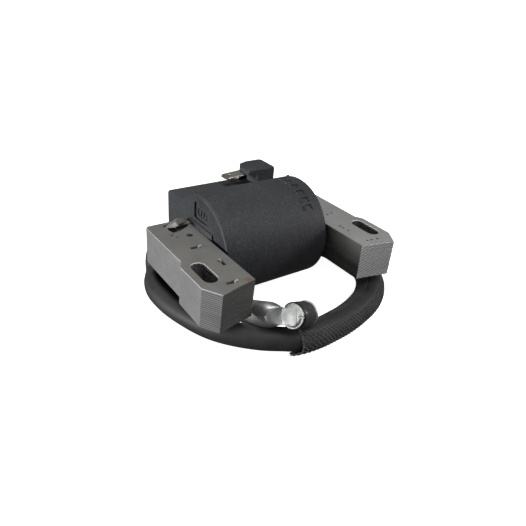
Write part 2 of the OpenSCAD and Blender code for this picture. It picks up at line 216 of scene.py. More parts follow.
def m_steel(name, tint, rough, metal, seams=0.0, score=0.0, warm=0.0):
    """Electrical steel. seams darkens the joints between sheets, score adds slanted grinding lines,
    warm adds a brownish patina and a spot of rust."""
    m, nt, b = new_mat(name)
    v = coords(nt)
    broad = noise_tex(nt, v, 60, 5, 0.6)
    stain = noise_tex(nt, v, 160, 4, 0.55, 0.6)
    speck = noise_tex(nt, v, 2100, 4, 0.75)
    col = mix(nt, ramp(nt, broad, [(0.3, 0.0), (0.7, 1.0)]), shade(tint, 0.82), tint)
    col = mix(nt, ramp(nt, stain, [(0.58, 0.0), (0.80, 0.35)]), col, shade(tint, 0.55))
    col = mix(nt, ramp(nt, speck, [(0.60, 0.0), (0.80, 0.6)]), col, tuple(min(1, c * 1.8) for c in tint))
    height = speck
    if seams:
        split = node(nt, "SeparateXYZ")
        wobble = noise_tex(nt, v, 240, 3, 0.6)
        nt.links.new(v, split.inputs[0])
        level = math_n(nt, "ADD", math_n(nt, "DIVIDE", split.outputs["Z"], SHEET * MM),
                       math_n(nt, "MULTIPLY", wobble, 0.18))
        tooth = math_n(nt, "PINGPONG", level, 0.5)
        tone = noise_tex(nt, coords(nt, (0.03, 0.03, 1)), 1900, 1, 0.4)
        col = mix(nt, ramp(nt, tone, [(0.35, 0.35 * seams), (0.6, 0.0)]), col, shade(tint, 0.5))
        col = mix(nt, ramp(nt, tooth, [(0.05, seams), (0.30, 0.0)]), col, shade(tint, 0.28))
        height = math_n(nt, "ADD", speck, math_n(nt, "MULTIPLY", tooth, 2.0))
    if score:
        w = node(nt, "TexWave", wave_type="BANDS", bands_direction="Z", Scale=250, Distortion=3.0, Detail=3)
        w.inputs["Detail Scale"].default_value = 0.5
        nt.links.new(coords(nt, (1, 0.2, 1), (0, 0.5, 0)), w.inputs["Vector"])
        scratch = ramp(nt, w.outputs["Fac"], [(0.25, score), (0.75, 0.0)])
        col = mix(nt, scratch, col, shade(tint, 0.42))
        height = math_n(nt, "ADD", height, w.outputs["Fac"])
    if warm:
        patina = ramp(nt, noise_tex(nt, v, 38, 3, 0.5), [(0.45, 0.0), (0.75, warm)])
        col = mix(nt, patina, col, tuple(c * f for c, f in zip(tint, (1.0, 0.86, 0.66))))
        near = node(nt, "VectorMath", operation="DISTANCE")
        near.inputs[1].default_value = tuple(RUST_SPOT * MM)
        nt.links.new(v, near.inputs[0])
        rust = math_n(nt, "ADD", math_n(nt, "MULTIPLY", near.outputs["Value"], 300.0),
                      math_n(nt, "MULTIPLY", speck, 0.35))
        col = mix(nt, ramp(nt, rust, [(0.30, 0.65), (0.85, 0.0)]), col, (0.16, 0.080, 0.035))
    b.inputs["Metallic"].default_value = metal
    uneven = ramp(nt, stain, [(0.25, rough - 0.06), (0.75, rough + 0.10)])
    surface(nt, b, col, uneven, bump(nt, height, 0.4, 0.03))
    return m


def m_plated(name, tint, rough, wear=0.3, grain=0.15, struck=None):
    """Bright plating with worn, stained patches. struck is (place, tint) of a face that is paler."""
    m, nt, b = new_mat(name)
    v = coords(nt)
    n1 = noise_tex(nt, v, 200, 6, 0.6, 0.4)
    n2 = noise_tex(nt, v, 1900, 4, 0.7)
    n3 = noise_tex(nt, v, 520, 4, 0.6, 0.8)
    col = mix(nt, ramp(nt, n1, [(0.45, 0.0), (0.75, wear)]), tint, shade(tint, 0.5))
    col = mix(nt, ramp(nt, n3, [(0.60, 0.0), (0.72, wear * 0.8)]), col, shade(tint, 0.35))
    if struck:
        place, pale = struck
        near = node(nt, "VectorMath", operation="DISTANCE")
        nt.links.new(v, near.inputs[0])
        near.inputs[1].default_value = tuple(place)
        reach = math_n(nt, "ADD", math_n(nt, "MULTIPLY", near.outputs["Value"], 1 / (STRUCK_R * MM)),
                       math_n(nt, "MULTIPLY", n3, 0.12))
        pits = mix(nt, ramp(nt, n2, [(0.55, 0.0), (0.75, 0.6)]), pale, shade(pale, 0.45))
        face = ramp(nt, reach, [(0.50, 1.0), (0.85, 0.0)])
        col = mix(nt, face, col, pits)
    b.inputs["Metallic"].default_value = 1.0
    gloss = ramp(nt, n1, [(0.3, rough - 0.06), (0.7, rough + 0.14)])
    if struck:
        gloss = math_n(nt, "ADD", gloss, math_n(nt, "MULTIPLY", face, 0.40))
    surface(nt, b, col, gloss, bump(nt, n2, grain, 0.05, bump(nt, n1, 0.3, 0.12)))
    return m


def m_rubber(name, tint, rough, grain_scale=1200, chalk=0.3, spec=0.4):
    """Rubber, compound or dull yarn: blotchy, fine grained, with pale chalky patches."""
    m, nt, b = new_mat(name)
    v = coords(nt)
    n1 = noise_tex(nt, v, 90, 5, 0.6)
    n2 = noise_tex(nt, v, grain_scale, 4, 0.6)
    n3 = noise_tex(nt, v, 420, 5, 0.7, 0.5)
    col = mix(nt, ramp(nt, n1, [(0.35, 0.0), (0.7, 1.0)]), tint, tuple(c * 1.5 + 0.003 for c in tint))
    col = mix(nt, ramp(nt, n3, [(0.62, 0.0), (0.80, chalk)]), col, tuple(c * 2.6 + 0.01 for c in tint))
    b.inputs["Specular IOR Level"].default_value = spec
    uneven = ramp(nt, n1, [(0.3, rough - 0.07), (0.7, rough + 0.08)])
    surface(nt, b, col, uneven, bump(nt, n2, 0.25, 0.04))
    return m


def m_simple(name, tint, rough, metallic=0.0, scale=300):
    """A plain mottled finish for the parts inside."""
    m, nt, b = new_mat(name)
    v = coords(nt)
    n1 = noise_tex(nt, v, scale, 5, 0.6)
    col = mix(nt, ramp(nt, n1, [(0.3, 0.0), (0.7, 1.0)]), shade(tint, 0.8), tint)
    b.inputs["Metallic"].default_value = metallic
    uneven = ramp(nt, n1, [(0.3, rough - 0.05), (0.7, rough + 0.08)])
    surface(nt, b, col, uneven, bump(nt, n1, 0.2, 0.05))
    return m


# where the plug elbow lies: MOUTH is on the lead, the cup is at the far end, and BOSS_H is how far
# the cup's blind end stands out. EDIR and SOCKET_A are the axes of the barrel and of the cup.
MOUTH = Vector((-22.6, 9.4, -13.7))
YAW, PITCH, ROLL, BEND = (math.radians(a) for a in (-83, 25.2, 72.4, 105.5))
ELBOW_LEN = 23.6
ELBOW_M = (Matrix.Translation(MOUTH) @ Matrix.Rotation(YAW, 4, "Z")
           @ Matrix.Rotation(math.pi / 2 - PITCH, 4, "Y") @ Matrix.Rotation(ROLL, 4, "Z"))
SOCKET_M = ELBOW_M @ Matrix.Translation((0, 0, ELBOW_LEN)) @ Matrix.Rotation(BEND, 4, "Y")
EDIR = (ELBOW_M.to_3x3() @ Vector((0, 0, 1))).normalized()
BOSS_H = 1.8
# to the right in the camera's picture, where the cup's slit points
right_of_view = Vector((0.81477, -0.57463, 0.07715))
SOCKET_O = SOCKET_M @ Vector((0, 0, 0))
SOCKET_A = (SOCKET_M.to_3x3() @ Vector((0, 0, 1))).normalized()
# the side of the cup that rests on the sleeve
RESTING = Vector((-3, -12, -17.6)) - (SOCKET_O + SOCKET_A * 12)
RESTING = (RESTING - SOCKET_A * RESTING.dot(SOCKET_A)).normalized()

PLASTIC = m_black_plastic()
STACK = 16.0
SHEETS = 20
SHEET = STACK / SHEETS
STEEL_TOP = m_steel("core_sheet_face", (0.190, 0.188, 0.178), 0.46, 0.4, warm=0.2)
# painted light: a paler copy of the sheet steel for the right leg's top, which lies farther from the lamp
STEEL_TOP_RIGHT_LIT = m_steel("core_right_face_painted_light", (0.335, 0.335, 0.325), 0.46, 0.4)
# the top sheet's burred outer edge in bright plating: a real burr with a painted highlight line on it
STEEL_BURR_HIGHLIGHT = m_plated("sheet_burr_painted_highlight", (0.66, 0.66, 0.65), 0.55, 0.3)
LIP = m_steel("torn_lip", (0.27, 0.265, 0.25), 0.50, 0.4)
STEEL_EDGE = m_steel("core_sheet_edges", (0.26, 0.26, 0.265), 0.50, 0.4, seams=0.25)
STEEL_CUT = m_steel("core_sheared_edges", (0.25, 0.25, 0.252), 0.48, 0.4, seams=0.9)
# the right pole face: ground and scored, and its pale tint is partly painted light, paler than the left
# pole face that faces the same way
STEEL_POLE_LIT = m_steel("core_ground_pole_painted_light", (0.72, 0.72, 0.73), 0.46, 0.3, seams=0.45, score=0.9)
# painted shade: a dark copy of the sheet steel for the inner faces that the coil shades, and for the left
# pole face
STEEL_SHADE = m_steel("core_painted_shade_faces", (0.11, 0.108, 0.105), 0.50, 0.3, seams=0.6)
# painted shade: a dark copy of the sheet steel for the walls of the slot, holes and sunken lance strips
STEEL_HOLE_SHADE = m_steel("core_hole_wall_painted_shade", (0.15, 0.15, 0.15), 0.55, 0.3, seams=0.5)
PLATED = m_plated("plated_metal", (0.42, 0.41, 0.37), 0.36)
ELBOW = m_plated("elbow_metal", (0.50, 0.51, 0.50), 0.42, 0.40, 0.5,
                 ((SOCKET_O + SOCKET_A * BOSS_H) * MM, (0.55, 0.56, 0.55)))
RUBBER = m_rubber("band_rubber", (0.036, 0.036, 0.037), 0.24, 900, 0.15, 0.5)
# painted shade: near-black rubber for the band's front end, which lies in shade
BAND_RIM_SHADE = m_rubber("band_rim_painted_shade", (0.003, 0.003, 0.003), 0.35, 900, 0.1, 0.3)
LEAD = m_rubber("lead_rubber", (0.0140, 0.0140, 0.0145), 0.60, 900, 0.9)
SLEEVE = m_rubber("woven_yarn", (0.050, 0.050, 0.053), 0.55, 3000, 0.8, 0.45)
WEFT = m_rubber("woven_weft", (0.016, 0.016, 0.017), 0.55, 3000, 0.6, 0.4)
# painted shade: a near-black sheet under the sleeve's yarns
SLEEVE_SHADE_SHEET = m_rubber("sleeve_painted_shade_sheet", (0.003, 0.003, 0.003), 0.7)
COPPER = m_simple("copper", (0.75, 0.40, 0.22), 0.35, 1.0)
ENAMEL = m_simple("enamel_wire", (0.50, 0.20, 0.08), 0.35, 0.7)
NYLON = m_simple("former_plastic", (0.78, 0.74, 0.62), 0.45)
BOARD = m_simple("board_green", (0.05, 0.22, 0.10), 0.45)
CHIP = m_simple("component_black", (0.03, 0.03, 0.03), 0.5)
CAP = m_simple("component_tan", (0.55, 0.34, 0.10), 0.35)
POTTING = m_rubber("sealing_compound", (0.010, 0.009, 0.008), 0.18, 300, 0.1, 0.5)

SLOT_MAT = {"core_steel": STEEL_TOP, "plated_metal": PLATED, "elbow_metal": ELBOW,
            "black_plastic": PLASTIC, "sealing_compound": POTTING,
            "black_rubber": RUBBER, "lead_rubber": LEAD, "woven_fabric": SLEEVE,
            "copper": COPPER, "enamel_wire": ENAMEL, "former_plastic": NYLON,
            "board_green": BOARD, "component_black": CHIP, "component_tan": CAP}
SUB = {s["node"]: s["material_slot"] for s in frame["record"]["subparts"]}
for name, o in N.items():
    o.data.materials.clear()
    o.data.materials.append(SLOT_MAT[SUB[name]])


# ---- mesh helpers
def belt(a, b, n):
    """Quads between two rings of n corners whose first corners are a and b."""
    return [(a + k, a + (k + 1) % n, b + (k + 1) % n, b + k) for k in range(n)]


def cap(start, n):
    """One face over the ring of n corners from start."""
    return tuple(range(start, start + n))


def lathe(profile, place=Matrix(), steps=72, closed=False):
    """Vertices and faces of a profile of (along, radius) turned round the local Z axis."""
    verts, faces = [], []
    for s, r in profile:
        for k in range(steps):
            a = 2 * math.pi * k / steps
            verts.append(place @ Vector((r * math.cos(a), r * math.sin(a), s)))
    n = len(profile)
    for i in range(n if closed else n - 1):
        faces += belt(i * steps, (i + 1) % n * steps, steps)
    if not closed:
        faces += [cap(0, steps)[::-1], cap((n - 1) * steps, steps)]
    return verts, faces


def round_box(lo, hi, r, segments=3):
    """A box with rounded edges, in mm."""
    bm = bmesh.new()
    bmesh.ops.create_cube(bm, size=1)
    for v in bm.verts:
        v.co = Vector([(lo[i] + hi[i]) / 2 + v.co[i] * (hi[i] - lo[i]) for i in range(3)])
    bmesh.ops.bevel(bm, geom=list(bm.edges), offset=r, segments=segments, profile=0.5, affect="EDGES")
    return dump(bm)


def prism(outline, z0, z1, r_top=0.0, segments=3):
    """An upright prism on an outline of (x, y), with its top edges rounded."""
    bm = bmesh.new()
    low = [bm.verts.new((x, y, z0)) for x, y in outline]
    top = [bm.verts.new((x, y, z1)) for x, y in outline]
    bm.faces.new(low)
    bm.faces.new(top)
    for i in range(len(low)):
        j = (i + 1) % len(low)
        bm.faces.new((low[i], low[j], top[j], top[i]))
    if r_top:
        edges = [e for e in bm.edges if all(v.co.z > z1 - 1e-6 for v in e.verts)]
        bmesh.ops.bevel(bm, geom=edges, offset=r_top, segments=segments, profile=0.5, affect="EDGES")
    return dump(bm)


def dump(bm):
    bm.verts.index_update()
    verts = [v.co.copy() for v in bm.verts]
    faces = [tuple(v.index for v in f.verts) for f in bm.faces]
    bm.free()
    return verts, faces


def join(*parts):
    verts, faces = [], []
    for v, f in parts:
        n = len(verts)
        verts += list(v)
        faces += [tuple(i + n for i in face) for face in f]
    return verts, faces


def modified(base, setup):
    """Runs modifiers on a (verts, faces) shape and returns the finished mesh."""
    o = linked("work", mesh_of("work", *base))
    setup(o)
    bpy.context.view_layer.update()
    done = bpy.data.meshes.new_from_object(o.evaluated_get(bpy.context.evaluated_depsgraph_get()))
    bpy.data.objects.remove(o, do_unlink=True)
    return done


def booleans(base, add=(), cut=()):
    """The base with shapes joined on and others cut away, as one clean mesh."""
    tools = []

    def setup(o):
        for kind, shapes in (("UNION", add), ("DIFFERENCE", cut)):
            for shape in shapes:
                t = linked("tool", mesh_of("tool", *shape))
                tools.append(t)
                m = o.modifiers.new("cut", "BOOLEAN")
                m.operation = kind
                m.solver = "EXACT"
                m.object = t

    done = modified(base, setup)
    for t in tools:
        bpy.data.objects.remove(t, do_unlink=True)
    return done


def finish_mesh(me, name, angle=38):
    """Smooth shading with sharp edges kept, and no loose points."""
    me.name = name
    bm = bmesh.new()
    bm.from_mesh(me)
    bmesh.ops.remove_doubles(bm, verts=bm.verts, dist=2e-6)
    loose = [v for v in bm.verts if not v.link_faces]
    bmesh.ops.delete(bm, geom=loose, context="VERTS")
    bm.to_mesh(me)
    bm.free()
    for p in me.polygons:
        p.use_smooth = True
    me.set_sharp_from_angle(angle=math.radians(angle))
    return me


def plate_faces(cols, rows):
    """Faces of a thin plate: an upper grid of corners, then a lower one, closed round the rim."""
    w = cols + 1
    n = w * (rows + 1)
    faces = []
    for j in range(rows):
        for i in range(cols):
            a = j * w + i
            faces.append((a, a + 1, a + w + 1, a + w))
            faces.append((n + a, n + a + w, n + a + w + 1, n + a + 1))
    rim = [i for i in range(w)] + [j * w + cols for j in range(1, rows + 1)]
    rim += [rows * w + i for i in range(cols - 1, -1, -1)] + [j * w for j in range(rows - 1, 0, -1)]
    for a, b in zip(rim, rim[1:] + rim[:1]):
        faces.append((a, b, n + b, n + a))
    return faces


def arc_points(cx, cy, r, a0, a1, n):
    """Points on an arc, both ends included."""
    return [(cx + r * math.cos(a0 + (a1 - a0) * k / n), cy + r * math.sin(a0 + (a1 - a0) * k / n))
            for k in range(n + 1)]


def rounded(points, radii, n=3):
    """A closed outline whose corners are rounded by the given radii."""
    out = []
    count = len(points)
    for i, p in enumerate(points):
        r = radii[i]
        if r <= 0:
            out.append(p)
            continue
        a, b = Vector(points[i - 1]), Vector(points[(i + 1) % count])
        p = Vector(p)
        da, db = (a - p).normalized(), (b - p).normalized()
        t = r / math.tan(da.angle(db) / 2)
        s, e = p + da * t, p + db * t
        for k in range(n + 1):
            u = k / n
            out.append(tuple((1 - u) ** 2 * s + 2 * u * (1 - u) * p + u * u * e))
    return out


def inset(loop, d):
    """Moves a closed loop inward by d where it runs counter-clockwise."""
    out = []
    n = len(loop)
    for i in range(n):
        a, p, b = Vector(loop[i - 1]), Vector(loop[i]), Vector(loop[(i + 1) % n])
        u, v = (p - a).normalized(), (b - p).normalized()
        m = Vector((-u.y - v.y, u.x + v.x))
        m = m.normalized() if m.length > 1e-9 else Vector((-u.y, u.x))
        c = max(0.5, m.dot(Vector((-u.y, u.x))))
        out.append(tuple(p + m * (d / c)))
    return out


# ---- laminated legs
# the pole face is an arc round the flywheel's axis, which lies at POLE_Y
POLE_X = 26.75
POLE_END = 42.25
POLE_R = 158.0
POLE_Y = -math.sqrt(POLE_R ** 2 - POLE_X ** 2)
LEG_SIDE = 46.75
LEG_WAIST = 44.75
SLOT_AT = (40.7, 12.55)
SLOT_R = 2.85
SLOT_HALF = 7.3
# finish indices; the inner faces and hole walls take painted shade, and the top sheet's burr a painted
# highlight
TOP_FACE, EDGE, SHEARED, POLE, HOLE_WALL, TORN, INNER, BURR_HIGHLIGHT = range(8)


def leg_outline(shoulder):
    """One core sheet of the +X leg seen from above, counter-clockwise. The pole arc comes first."""
    pole = []
    for k in range(15):
        x = POLE_X + (POLE_END - POLE_X) * k / 14
        pole.append((x, POLE_Y + math.sqrt(POLE_R ** 2 - x * x)))
    rest = [(LEG_SIDE, 3.75), (LEG_SIDE, 19.9), (LEG_WAIST, 23.3), (LEG_WAIST, 54), (43.55, 55.2),
            (POLE_X, 55.2)]
    radii = [0.25] + [0] * 13 + [0.3] + [0.4, shoulder, shoulder, 0.3, 0.3, 0.3]
    return rounded(pole + rest, radii)


def edge_finish(p, q):
    """Which finish the outline's edge from p to q has."""
    x, y = (p[0] + q[0]) / 2, (p[1] + q[1]) / 2
    if y > 0.5 and x < POLE_X + 0.1:
        return INNER
    if y < 0.3 and x < POLE_END + 0.1:
        return POLE
    return SHEARED if y < 3.7 and x > POLE_END - 0.1 else EDGE


def slot_loop():
    """The slotted mounting hole."""
    x, y = SLOT_AT
    half = SLOT_HALF - SLOT_R
    up = arc_points(x, y + half, SLOT_R, 0, math.pi, 12)
    down = arc_points(x, y - half, SLOT_R, math.pi, 2 * math.pi, 12)
    return up + down


# the mouth under the torn hump, with X counted outward from the middle
GILL_OPENING = [(31.0, 46.9), (33.7, 45.7), (36.6, 45.3), (37.4, 48.2), (36.8, 50.4), (28.2, 50.4),
                (28.0, 48.7)]


def round_hole(x, y, r, n=16):
    return arc_points(x, y, r, 0, 2 * math.pi * (n - 1) / n, n - 1)


def long_hole(x, y, length, width, angle):
    """A turned rectangle with rounded corners."""
    c, s = math.cos(angle), math.sin(angle)
    a, b = length / 2, width / 2
    shape = rounded([(-a, -b), (a, -b), (a, b), (-a, b)], [width * 0.3] * 4, 2)
    return [(x + u * c - v * s, y + u * s + v * c) for u, v in shape]


STRIP_STEPS = 12
STRIP_WIDTH, STRIP_THICK = 0.72, 0.42
# the sunken first steps of each lance strip take the hole-wall steel, painted shade
STRIP_SHADED_STEPS = 8
STRIP_FINISHES = [HOLE_WALL] * 4 * STRIP_SHADED_STEPS + [TORN] * (4 * (STRIP_STEPS - STRIP_SHADED_STEPS) + 2)


def lance_strip(side, x, y, length, angle, depth, lip):
    """The strip that the press pushed down inside an open lance, with a flared lip standing at one end."""
    c, s = math.cos(angle), math.sin(angle)
    verts, faces = [], []
    for k in range(STRIP_STEPS + 1):
        u = k / STRIP_STEPS
        sag = depth * math.sin(math.pi * min(1, u * 1.25 + 0.12)) ** 0.5
        z = STACK / 2 - sag + lip * max(0, u - 0.62) / 0.38
        along = (u - 0.5) * (length - 0.1)
        w = STRIP_WIDTH / 2 * (1 + 0.9 * max(0, u - 0.6) / 0.4)
        for across, drop in ((-w, 0), (w, 0), (w, STRIP_THICK), (-w, STRIP_THICK)):
            place = (side * (x + along * c - across * s), y + along * s + across * c, z - drop)
            verts.append(Vector(place))
    for k in range(STRIP_STEPS):
        faces += belt(4 * k, 4 * k + 4, 4)
    return verts, faces + [cap(0, 4), cap(4 * STRIP_STEPS, 4)]


def leg(name, side, lances, dots, shoulder, pole, top):
    """A stack of separate sheets. lances are (x, y, length, angle, depth, lip), dots are (x, y, radius)."""
    outline = leg_outline(shoulder)
    slot = slot_loop()
    verts, faces, finishes = [], [], []
    ease = 0.06
    for k in range(SHEETS):
        z0 = -STACK / 2 + k * SHEET
        z1 = z0 + SHEET
        level = SHEETS - 1 - k
        dx, dy = rnd.uniform(-0.035, 0.035), rnd.uniform(-0.035, 0.035)
        holes = [slot]
        # marks go a few sheets deep, and only the left leg has the gauge hole and the torn mouth
        if level < 3:
            for x, y, length, angle, depth, lip in lances:
                holes.append(long_hole(x, y, length, 1.5 if lip else 0.5, angle))
        if level < 1:
            holes += [round_hole(x, y, r, 10) for x, y, r in dots]
        if side < 0 and level < 12:
            holes.append(round_hole(31.7, 40.5, 1.3))
        if side < 0 and level < 4:
            holes += [GILL_OPENING, long_hole(35.7, 52.6, 5.0, 1.0, -0.33)]
        loops = [(outline, 1)] + [(h, -1) for h in holes]
        burr = 0.15 if level == 0 else ease
        starts = []
        for z, amount in ((z0, ease), (z0 + ease, 0), (z1 - burr, 0), (z1, burr)):
            starts.append(len(verts))
            for loop, e in loops:
                # holes run counter-clockwise too, so a negative inset widens them
                for x, y in (inset(loop, e * amount) if amount else loop):
                    # the left stack leans outward a little toward its tip and its underside
                    lean = (0.2 + 0.7 * (STACK / 2 - z) / STACK) * max(0, 1 - y / 40) if side < 0 else 0
                    verts.append(Vector((side * (x + dx + lean), y + dy, z)))
        first = 0
        for loop, e in loops:
            n = len(loop)
            for r in range(3):
                faces += belt(starts[r] + first, starts[r + 1] + first, n)
                for p, q in zip(loop, loop[1:] + loop[:1]):
                    finish = edge_finish(p, q) if loop is outline else HOLE_WALL
                    crisp = finish in (EDGE, SHEARED) or loop is slot
                    # the top sheet's burred chamfer takes the bright plating, a painted highlight
                    finishes.append(BURR_HIGHLIGHT if level == 0 and r == 2 and crisp else finish)
            first += n
        flat = []
        for loop, e in loops:
            flat.append([Vector((x, y, 0)) for x, y in inset(loop, e * ease)])
        for tri in tessellate_polygon(flat):
            for start in (starts[0], starts[3]):
                faces.append(tuple(start + i for i in tri))
                finishes.append(TOP_FACE)
    for cut in lances:
        if cut[-1]:
            verts, faces = join((verts, faces), lance_strip(side, *cut))
            finishes += STRIP_FINISHES
    me = mesh_of(name, verts, faces, smooth=False, finishes=finishes)
    # in finish order; the inner faces take the dark steel that paints shade on them
    steels = [top, STEEL_EDGE, STEEL_CUT, pole, STEEL_HOLE_SHADE, LIP, STEEL_SHADE, STEEL_BURR_HIGHLIGHT]
    return obj(name + "_sheets", me, "coil", steels, [name])


OUTWARD, ALONG, INWARD = 0.0, math.pi / 2, math.pi
# the left leg's pole face takes the dark steel, painted shade
leg("left_leg", -1,
    [(34.4, 30.4, 4.6, INWARD, 1.7, 0.4), (31.3, 16.0, 4.6, ALONG, 1.7, 0.3),
     (35.2, 2.4, 4.6, INWARD, 1.7, 0.35)],
    [(38.4, 43.3, 0.42), (37.1, 41.2, 0.36), (37.4, 44.2, 0.25)], 0.9, STEEL_SHADE, STEEL_TOP)
# the right leg's top takes the paler copy of the sheet steel, painted light
leg("right_leg", 1,
    [(34.0, 30.4, 1.5, OUTWARD, 0.12, 0.0), (31.3, 16.6, 1.1, ALONG, 0.12, 0.0),
     (34.4, 2.5, 1.6, OUTWARD, 0.12, 0.0)],
    [(37.0, 30.9, 0.5), (31.3, 18.6, 0.5), (31.4, 13.6, 0.4), (32.4, 2.9, 0.4), (37.6, 2.0, 0.5)],
    1.6, STEEL_POLE_LIT, STEEL_TOP_RIGHT_LIT)


def gill():
    """The torn hump that the press raised over the ground strip: a ragged lip stands open at the front."""
    cols, rows = 40, 22
    lip = [(-1, 50.2), (-0.75, 48.9), (-0.55, 47.3), (-0.3, 46.9), (-0.12, 48.5), (0.1, 49.3),
           (0.5, 49.9), (1, 51.2)]
    top, under = [], []
    for j in range(rows + 1):
        v = j / rows
        for i in range(cols + 1):
            u = 2 * i / cols - 1
            for (u0, y0), (u1, y1) in zip(lip, lip[1:]):
                if u0 <= u <= u1:
                    front = y0 + (y1 - y0) * (u - u0) / (u1 - u0)
            front += 0.25 * noise.noise(Vector((u * 7.0, 0.3, 1.7)))
            arch = max(0.0, 1 - abs(u) ** 2.6)
            if v < 0.45:
                rise = 0.55 + 0.45 * math.sin(math.pi * v / 0.9)
            else:
                rise = math.cos((v - 0.45) / 0.55 * math.pi / 2)
            # on the left the sheet is torn free behind the hump too
            torn = clamp((0.0 - u) / 0.3)
            rise += (max(rise, 0.8 - 0.35 * v) - rise) * torn
            back = 55.0 - 2.0 * torn - 1.8 * max(0.0, -0.3 - u) / 0.7
            dent = 0.25 * noise.noise(Vector((u * 2.3, v * 2.1, 5.0)))
            z = 8.0 + arch * max(0.0, 2.3 * rise + dent * rise)
            top.append(Vector((-32.0 + 5.3 * u, front + (back - front) * v, z + 0.02)))
            under.append(Vector((-32.0 + 5.3 * u, front + (back - front) * v + 0.05, z - 0.5)))
    me = mesh_of("ground_gill", top + under, plate_faces(cols, rows))
    finish_mesh(me, "ground_gill", 50)
    for face in me.polygons:
        x, y = face.center.x / MM, face.center.y / MM
        face.material_index = 1 if x < -33.4 and y < 49.4 else 0
    obj("ground_gill", me, "coil", [STEEL_TOP, LIP], ["ground_tab"])


gill()

# ---- housing
# the round body's axis runs along X at AXIS_Y, and its end faces are at FACE_X on both sides
AXIS_Y = 42.6
BODY_R = 22.6
FACE_X = 25.4
RIM_X = 25.7
BACK_Y = 73.9
BOX_TOP = 13.8
HOOD_Z = 21.4
WALL = 2.2
TUB_HALF = FACE_X - 2.4
BAR_RISE = 0.46
BLADE_Y = 67.8
# the lead's way out through the left wall
LEAD_Y, LEAD_Z, LEAD_HOLE_R = 66.2, -7.4, 4.35
TURN_X = Matrix.Translation((0, AXIS_Y, 0)) @ Matrix.Rotation(math.pi / 2, 4, "Y")


def round_body():
    """The round body. Its ends carry a low rounded rim from the crest forward, and are flush behind it."""
    left = [(-FACE_X, 0.4), (-FACE_X, 20.6), (-FACE_X - 0.12, 20.85), (-RIM_X + 0.03, 21.1),
            (-RIM_X, 21.4), (-RIM_X + 0.05, 21.9), (-RIM_X + 0.22, 22.3), (-RIM_X + 0.6, 22.55),
            (-RIM_X + 1.1, BODY_R)]
    mid = [(-12, BODY_R), (0, BODY_R), (12, BODY_R)]
    right = [(-s, r) for s, r in reversed(left)]
    verts, faces = lathe(left + mid + right, TURN_X, 160)
    for v in verts:
        # the rim fades out just behind the crest
        keep = clamp((AXIS_Y + 5.0 - v.y) / 3.0) if v.z > 0 else 1.0
        # on the right the rim stops at a small step part of the way down
        if v.x > 0 and v.z < 14.6:
            keep = 0.0
        over = abs(v.x) - FACE_X
        if over > 0:
            v.x = math.copysign(FACE_X + over * keep, v.x)
    return verts, faces


def rod(x0, x1, y, z, r, steps=48):
    """A round bar along X."""
    place = Matrix.Translation((0, y, z)) @ Matrix.Rotation(math.pi / 2, 4, "Y")
    return lathe([(x0, r), (x1, r)], place, steps)


def pocket(side):
    """Tool that sinks the panel in an end face."""
    y0, y1, z0, z1 = AXIS_Y - 5, AXIS_Y + 5.8, 11.4, 18.8
    panel = rounded([(y0, z0 + 0.6), (y0 + 2.2, z0), (y1 - 0.5, z0), (y1, z0 + 0.5), (y1, z1),
                     (y0 + 5.5, z1), (y0, z1 - 2.4)], [0.5, 0.3, 0.3, 0.3, 0.6, 0.8, 0.6])
    n = len(panel)
    depths = (side * (FACE_X + 1), side * (FACE_X - 0.85))
    verts = [Vector((x, y, z)) for x in depths for y, z in panel]
    return verts, [cap(0, n), cap(n, n)] + belt(0, n, n)


def oval_ring(side):
    """A raised oval with two plain bars inside the panel."""
    cy, cz = AXIS_Y + 0.2, 15.1
    half_y, half_z = 3.7, 2.35
    x0 = side * (FACE_X - 0.88)
    sections = 40
    verts, faces = [], []
    for k in range(sections):
        a = 2 * math.pi * k / sections
        for dr, dx in ((-0.45, 0), (-0.28, 0.5), (0.28, 0.5), (0.45, 0)):
            y, z = cy + (half_y + dr) * math.cos(a), cz + (half_z + dr) * math.sin(a)
            verts.append(Vector((x0 + side * dx, y, z)))
        faces += belt(4 * k, 4 * ((k + 1) % sections), 4)
    parts = [(verts, faces)]
    near, far = sorted((x0, x0 + side * 0.5))
    for y in (cy - 1.2, cy + 0.9):
        parts.append(round_box((near, y - 0.35, cz - 1.1), (far, y + 0.35, cz + 1.1), 0.15, 2))
    return join(*parts)


def hood_parts():
    """The hood over the blade, and the tool for its open mouth."""
    outline = rounded([(10.0, 61.4), (FACE_X + 0.15, 61.4), (FACE_X + 0.15, BACK_Y + 0.4),
                       (16.8, BACK_Y + 0.4), (12.4, 72.6), (10.2, 69.4)], [1.0, 1.3, 0.7, 0.8, 0.8, 0.8], 4)
    block = prism(outline, BOX_TOP - 1, HOOD_Z + 0.15, 0.75, 4)
    mouth = round_box((6, 60, BOX_TOP + 0.02), (15.6, 71.2, HOOD_Z - 1.8), 0.25, 2)
    return block, mouth


